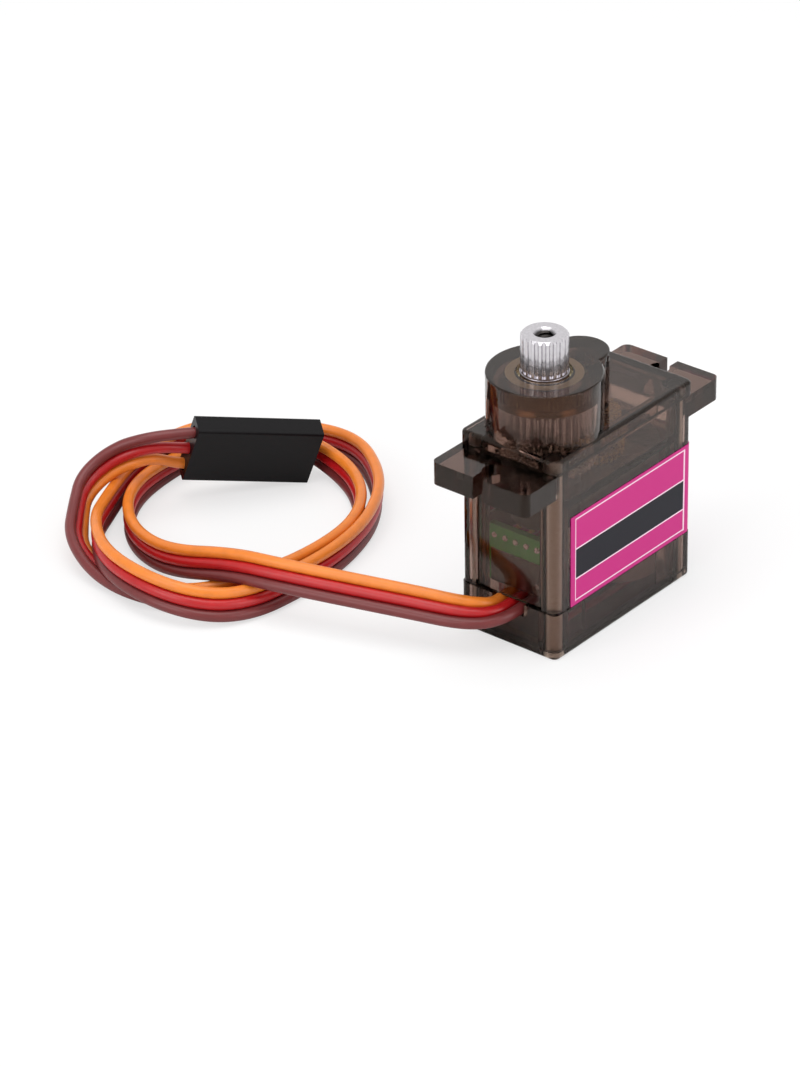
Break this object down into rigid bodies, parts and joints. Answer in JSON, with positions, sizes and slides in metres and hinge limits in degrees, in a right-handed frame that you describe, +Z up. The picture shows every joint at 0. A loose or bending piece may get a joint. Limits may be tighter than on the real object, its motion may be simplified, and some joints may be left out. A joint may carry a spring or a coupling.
{
  "type": "hobby servo motor",
  "caption": "Micro servo with metal gears in a smoked plastic case, with two mounting ears, a splined output shaft and a three-wire lead ending in a socket connector.",
  "frame": {"origin": "centre of the case's bottom face, midway between the ears' ends", "axes": "+Z up along the output shaft, X along the case with the output shaft and lead at -X, Y across it"},
  "size_m": [0.0476, 0.0608, 0.033],
  "materials": {
    "smoked_plastic": "smoked clear, slightly satin",
    "screw_steel": "plated",
    "label_film": "printed film, gloss",
    "output_steel": "nickel plated",
    "bearing_steel": "ground",
    "cage_brass": "plain",
    "gear_brass": "hobbed",
    "gear_steel": "sintered",
    "pot_plastic": "moulded",
    "pot_track_film": "carbon film",
    "contact_brass": "tinned",
    "motor_steel": "zinc plated",
    "black_plastic": "moulded",
    "magnet_ferrite": "sintered",
    "lead_red": "insulation",
    "winding_copper": "enamelled copper",
    "board_green": "solder mask",
    "chip_ceramic": "ceramic",
    "solder": "solder",
    "wire_orange": "soft insulation",
    "wire_red": "soft insulation",
    "wire_brown": "soft insulation"
  },
  "bodies": {
    "case": {"bottom_cover": "smoked_plastic", "middle_case": "smoked_plastic", "top_cover": "smoked_plastic", "case_screws": "screw_steel", "label": "label_film", "bearing_outer_race": "bearing_steel", "idler_pin": "bearing_steel", "pot_housing": "pot_plastic", "pot_track": "pot_track_film", "pot_terminals": "contact_brass", "motor_can": "motor_steel", "motor_end_bell": "black_plastic", "motor_bush": "cage_brass", "motor_magnets": "magnet_ferrite", "motor_brushes": "contact_brass", "motor_terminals": "contact_brass", "motor_leads": "lead_red", "circuit_board": "board_green", "control_chip": "black_plastic", "board_parts": "chip_ceramic", "board_solder": "solder", "lead_joints": "solder", "signal_wire": "wire_orange", "power_wire": "wire_red", "ground_wire": "wire_brown", "cable_coil": "wire_red", "connector_housing": "black_plastic", "connector_contacts": "contact_brass"},
    "output": {"output_gear": "output_steel", "pot_shaft": "bearing_steel", "pot_wiper": "contact_brass", "bearing_inner_race": "bearing_steel"},
    "bearing_cage": {"bearing_balls": "bearing_steel", "bearing_cage": "cage_brass"},
    "third_gear": {"third_gear": "gear_brass"},
    "second_gear": {"second_gear": "gear_steel"},
    "first_gear": {"first_gear": "gear_brass"},
    "rotor": {"rotor_core": "motor_steel", "rotor_windings": "winding_copper", "commutator": "winding_copper", "motor_shaft": "bearing_steel", "motor_pinion": "gear_brass"}
  },
  "joints": [
    {"name": "output_turn", "type": "hinge", "parent": "case", "child": "output", "pos_m": [-0.0054, 0, 0.0244], "axis": [0, 0, 1], "range_deg": [-90, 90]},
    {"name": "bearing_cage_turn", "type": "hinge", "parent": "case", "child": "bearing_cage", "pos_m": [-0.0054, 0, 0.0272], "axis": [0, 0, 1], "range_deg": [-39.08, 39.08]},
    {"name": "third_gear_turn", "type": "hinge", "parent": "case", "child": "third_gear", "pos_m": [0.00035, 0, 0.0207], "axis": [0, 0, 1], "range_deg": [-325, 325]},
    {"name": "second_gear_turn", "type": "hinge", "parent": "case", "child": "second_gear", "pos_m": [-0.0054, 0, 0.0193], "axis": [0, 0, 1], "range_deg": [-741.57, 741.57]},
    {"name": "first_gear_turn", "type": "hinge", "parent": "case", "child": "first_gear", "pos_m": [0.00035, 0, 0.0182], "axis": [0, 0, 1], "range_deg": [-2667.06, 2667.06]},
    {"name": "motor_turn", "type": "hinge", "parent": "case", "child": "rotor", "pos_m": [0.00535, 0, 0.0106], "axis": [0, 0, 1], "range_deg": [-10665.23, 10665.23]}
  ],
  "couplings": [
    {"joint": "bearing_cage_turn", "follows": "output_turn", "ratio": 0.42308},
    {"joint": "third_gear_turn", "follows": "output_turn", "ratio": -3.6},
    {"joint": "second_gear_turn", "follows": "output_turn", "ratio": 8.2286},
    {"joint": "first_gear_turn", "follows": "output_turn", "ratio": -29.623},
    {"joint": "motor_turn", "follows": "output_turn", "ratio": 118.49}
  ]
}
